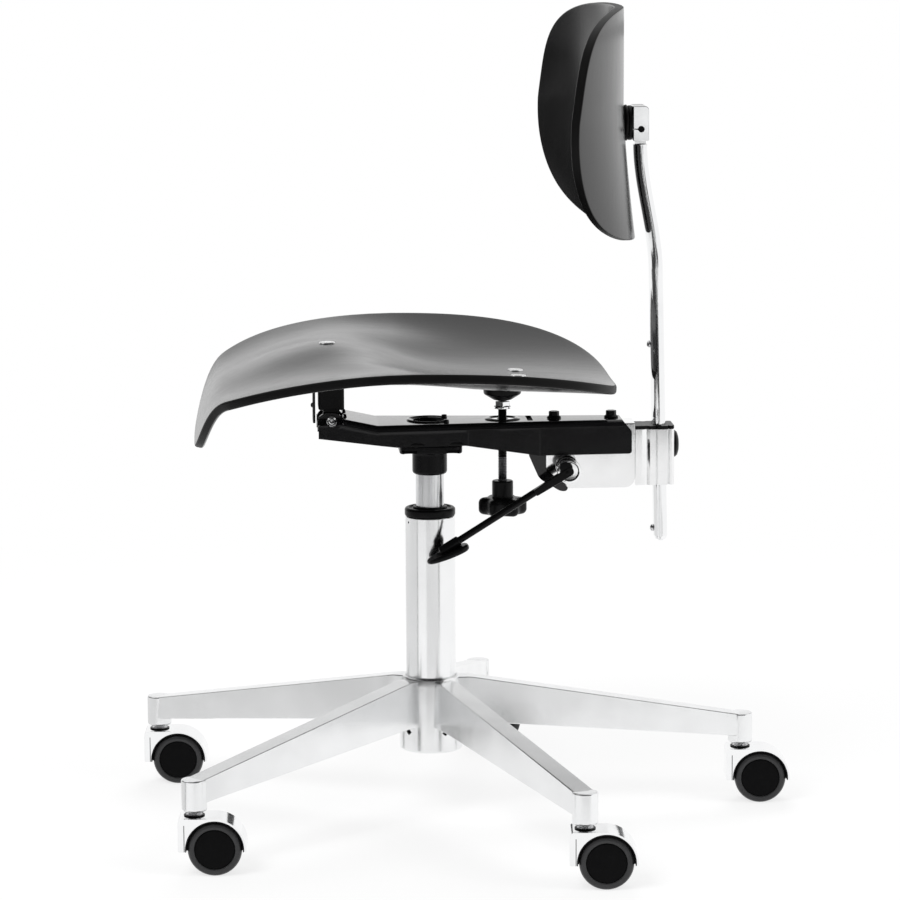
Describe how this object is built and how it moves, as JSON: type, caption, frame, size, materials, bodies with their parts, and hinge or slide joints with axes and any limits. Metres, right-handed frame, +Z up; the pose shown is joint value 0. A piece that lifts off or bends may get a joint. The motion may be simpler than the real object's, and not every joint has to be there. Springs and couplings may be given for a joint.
{
  "type": "swivel chair",
  "caption": "Swivel work chair with moulded plywood seat and backrest, bright back post, screw-set seat tilt, gas lift and a star base on twin-wheel castors.",
  "frame": {"origin": "on the floor under the middle of the chair's bounding box", "axes": "+Z up, the chair faces -X, and its sitter's left is -Y"},
  "size_m": [0.6569, 0.6411, 0.8076],
  "materials": {
    "plywood": "black stained moulded plywood under satin lacquer",
    "base": "polished die-cast aluminium",
    "chrome": "bright chrome plating",
    "bracket": "bright satin metal",
    "painted": "gloss black paint on folded steel",
    "steel": "bright zinc-plated steel",
    "black_steel": "blackened steel",
    "plastic": "black moulded plastic, semi-matt",
    "wheel": "black wheel with a dark grey tread",
    "rubber": "black rubber"
  },
  "bodies": {
    "base": {"star_base": "base", "column_tube": "chrome", "guide_bush": "plastic", "thrust_bearing": "steel"},
    "rod": {"piston_rod": "steel"},
    "upper": {"gas_cylinder": "chrome", "taper_housing": "painted", "seat_carrier": "painted", "hinge_bolt": "steel", "carrier_bolt_front": "black_steel", "carrier_bolt_rear": "black_steel", "back_bracket": "bracket", "post_clamp": "bracket", "clamp_cap": "plastic", "lever_bushing": "bracket", "spindle_trunnion": "black_steel"},
    "button": {"release_button": "steel"},
    "rocker": {"release_rocker": "steel"},
    "lever": {"release_lever": "plastic", "lever_paddle": "plastic"},
    "clamp_knob": {"clamp_knob": "plastic"},
    "seat": {"seat_shell": "plywood", "seat_screw_front": "steel", "seat_screw_rear_left": "steel", "seat_screw_rear_right": "steel", "front_block": "plastic", "hinge_strap": "plastic", "spindle_plate": "plastic"},
    "spindle_head": {"spindle_nut": "chrome"},
    "spindle": {"tilt_spindle": "black_steel", "star_knob": "plastic"},
    "post": {"back_post": "chrome", "stop_screw_upper": "steel", "stop_screw_lower": "steel", "back_pin": "steel"},
    "back": {"backrest_shell": "plywood", "back_block": "chrome", "back_washer": "rubber"},
    "castor_1": {"castor_hood_1": "chrome", "castor_frame_1": "plastic"},
    "wheel_1_left": {"castor_wheel_1_left": "wheel"},
    "wheel_1_right": {"castor_wheel_1_right": "wheel"},
    "castor_2": {"castor_hood_2": "chrome", "castor_frame_2": "plastic"},
    "wheel_2_left": {"castor_wheel_2_left": "wheel"},
    "wheel_2_right": {"castor_wheel_2_right": "wheel"},
    "castor_3": {"castor_hood_3": "chrome", "castor_frame_3": "plastic"},
    "wheel_3_left": {"castor_wheel_3_left": "wheel"},
    "wheel_3_right": {"castor_wheel_3_right": "wheel"},
    "castor_4": {"castor_hood_4": "chrome", "castor_frame_4": "plastic"},
    "wheel_4_left": {"castor_wheel_4_left": "wheel"},
    "wheel_4_right": {"castor_wheel_4_right": "wheel"},
    "castor_5": {"castor_hood_5": "chrome", "castor_frame_5": "plastic"},
    "wheel_5_left": {"castor_wheel_5_left": "wheel"},
    "wheel_5_right": {"castor_wheel_5_right": "wheel"}
  },
  "joints": [
    {"name": "seat_swivel", "type": "hinge", "parent": "base", "child": "rod", "pos_m": [-0.039, -0.01, 0.0816], "axis": [0, 0, 1], "continuous": true},
    {"name": "seat_lift", "type": "slide", "parent": "rod", "child": "upper", "axis": [0, 0, 1], "range_m": [-0.025, 0.105]},
    {"name": "seat_tilt", "type": "hinge", "parent": "upper", "child": "seat", "pos_m": [-0.1365, -0.01, 0.403], "axis": [0, -1, 0], "range_deg": [-2.5, 6]},
    {"name": "spindle_travel", "type": "slide", "parent": "upper", "child": "spindle_head", "axis": [0, 0, 1], "range_m": [-0.0078, 0.0182]},
    {"name": "spindle_turn", "type": "hinge", "parent": "spindle_head", "child": "spindle", "pos_m": [0.0335, -0.01, 0.379], "axis": [0, 0, 1], "range_deg": [-900, 2160]},
    {"name": "lever_lift", "type": "hinge", "parent": "upper", "child": "lever", "pos_m": [0.096, -0.01, 0.354], "axis": [0, 1, 0], "range_deg": [0, 10], "stiffness_Nm_per_rad": 2, "springref_deg": -5.73},
    {"name": "rocker_swing", "type": "hinge", "parent": "upper", "child": "rocker", "pos_m": [0.001, -0.01, 0.3895], "axis": [0, 1, 0], "range_deg": [-3.3, 0]},
    {"name": "button_press", "type": "slide", "parent": "upper", "child": "button", "axis": [0, 0, 1], "range_m": [-0.0024, 0]},
    {"name": "clamp_knob_turn", "type": "hinge", "parent": "upper", "child": "clamp_knob", "pos_m": [0.2033, -0.01, 0.373], "axis": [1, 0, 0], "range_deg": [0, 540]},
    {"name": "back_height", "type": "slide", "parent": "upper", "child": "post", "axis": [-0.0196, 0, 0.9998], "range_m": [-0.075, 0.04]},
    {"name": "back_tilt", "type": "hinge", "parent": "post", "child": "back", "pos_m": [0.16986, -0.01, 0.6872], "axis": [0, 1, 0], "range_deg": [-5, 8], "stiffness_Nm_per_rad": 40},
    {"name": "castor_1_swivel", "type": "hinge", "parent": "base", "child": "castor_1", "pos_m": [0.27703, 0.02154, 0.06], "axis": [0, 0, 1], "continuous": true},
    {"name": "wheel_1_left_roll", "type": "hinge", "parent": "castor_1", "child": "wheel_1_left", "pos_m": [0.29669, 0.02038, 0.02585], "axis": [0.0593, 0.9982, 0], "continuous": true},
    {"name": "wheel_1_right_roll", "type": "hinge", "parent": "castor_1", "child": "wheel_1_right", "pos_m": [0.29669, 0.02038, 0.02585], "axis": [0.0593, 0.9982, 0], "continuous": true},
    {"name": "castor_2_swivel", "type": "hinge", "parent": "base", "child": "castor_2", "pos_m": [0.02866, 0.30031, 0.06], "axis": [0, 0, 1], "continuous": true},
    {"name": "wheel_2_left_roll", "type": "hinge", "parent": "castor_2", "child": "wheel_2_left", "pos_m": [0.04832, 0.29914, 0.02585], "axis": [0.0593, 0.9982, 0], "continuous": true},
    {"name": "wheel_2_right_roll", "type": "hinge", "parent": "castor_2", "child": "wheel_2_right", "pos_m": [0.04832, 0.29914, 0.02585], "axis": [0.0593, 0.9982, 0], "continuous": true},
    {"name": "castor_3_swivel", "type": "hinge", "parent": "base", "child": "castor_3", "pos_m": [-0.31321, 0.15024, 0.06], "axis": [0, 0, 1], "continuous": true},
    {"name": "wheel_3_left_roll", "type": "hinge", "parent": "castor_3", "child": "wheel_3_left", "pos_m": [-0.29355, 0.14907, 0.02585], "axis": [0.0593, 0.9982, 0], "continuous": true},
    {"name": "wheel_3_right_roll", "type": "hinge", "parent": "castor_3", "child": "wheel_3_right", "pos_m": [-0.29355, 0.14907, 0.02585], "axis": [0.0593, 0.9982, 0], "continuous": true},
    {"name": "castor_4_swivel", "type": "hinge", "parent": "base", "child": "castor_4", "pos_m": [-0.27613, -0.22128, 0.06], "axis": [0, 0, 1], "continuous": true},
    {"name": "wheel_4_left_roll", "type": "hinge", "parent": "castor_4", "child": "wheel_4_left", "pos_m": [-0.25647, -0.22245, 0.02585], "axis": [0.0593, 0.9982, 0], "continuous": true},
    {"name": "wheel_4_right_roll", "type": "hinge", "parent": "castor_4", "child": "wheel_4_right", "pos_m": [-0.25647, -0.22245, 0.02585], "axis": [0.0593, 0.9982, 0], "continuous": true},
    {"name": "castor_5_swivel", "type": "hinge", "parent": "base", "child": "castor_5", "pos_m": [0.08866, -0.30081, 0.06], "axis": [0, 0, 1], "continuous": true},
    {"name": "wheel_5_left_roll", "type": "hinge", "parent": "castor_5", "child": "wheel_5_left", "pos_m": [0.10832, -0.30198, 0.02585], "axis": [0.0593, 0.9982, 0], "continuous": true},
    {"name": "wheel_5_right_roll", "type": "hinge", "parent": "castor_5", "child": "wheel_5_right", "pos_m": [0.10832, -0.30198, 0.02585], "axis": [0.0593, 0.9982, 0], "continuous": true}
  ],
  "couplings": [
    {"joint": "spindle_travel", "follows": "seat_tilt", "m_per_rad": 0.17},
    {"joint": "spindle_turn", "follows": "seat_tilt", "ratio": 356.05},
    {"joint": "rocker_swing", "follows": "lever_lift", "ratio": -0.31},
    {"joint": "button_press", "follows": "lever_lift", "m_per_rad": -0.0124}
  ]
}
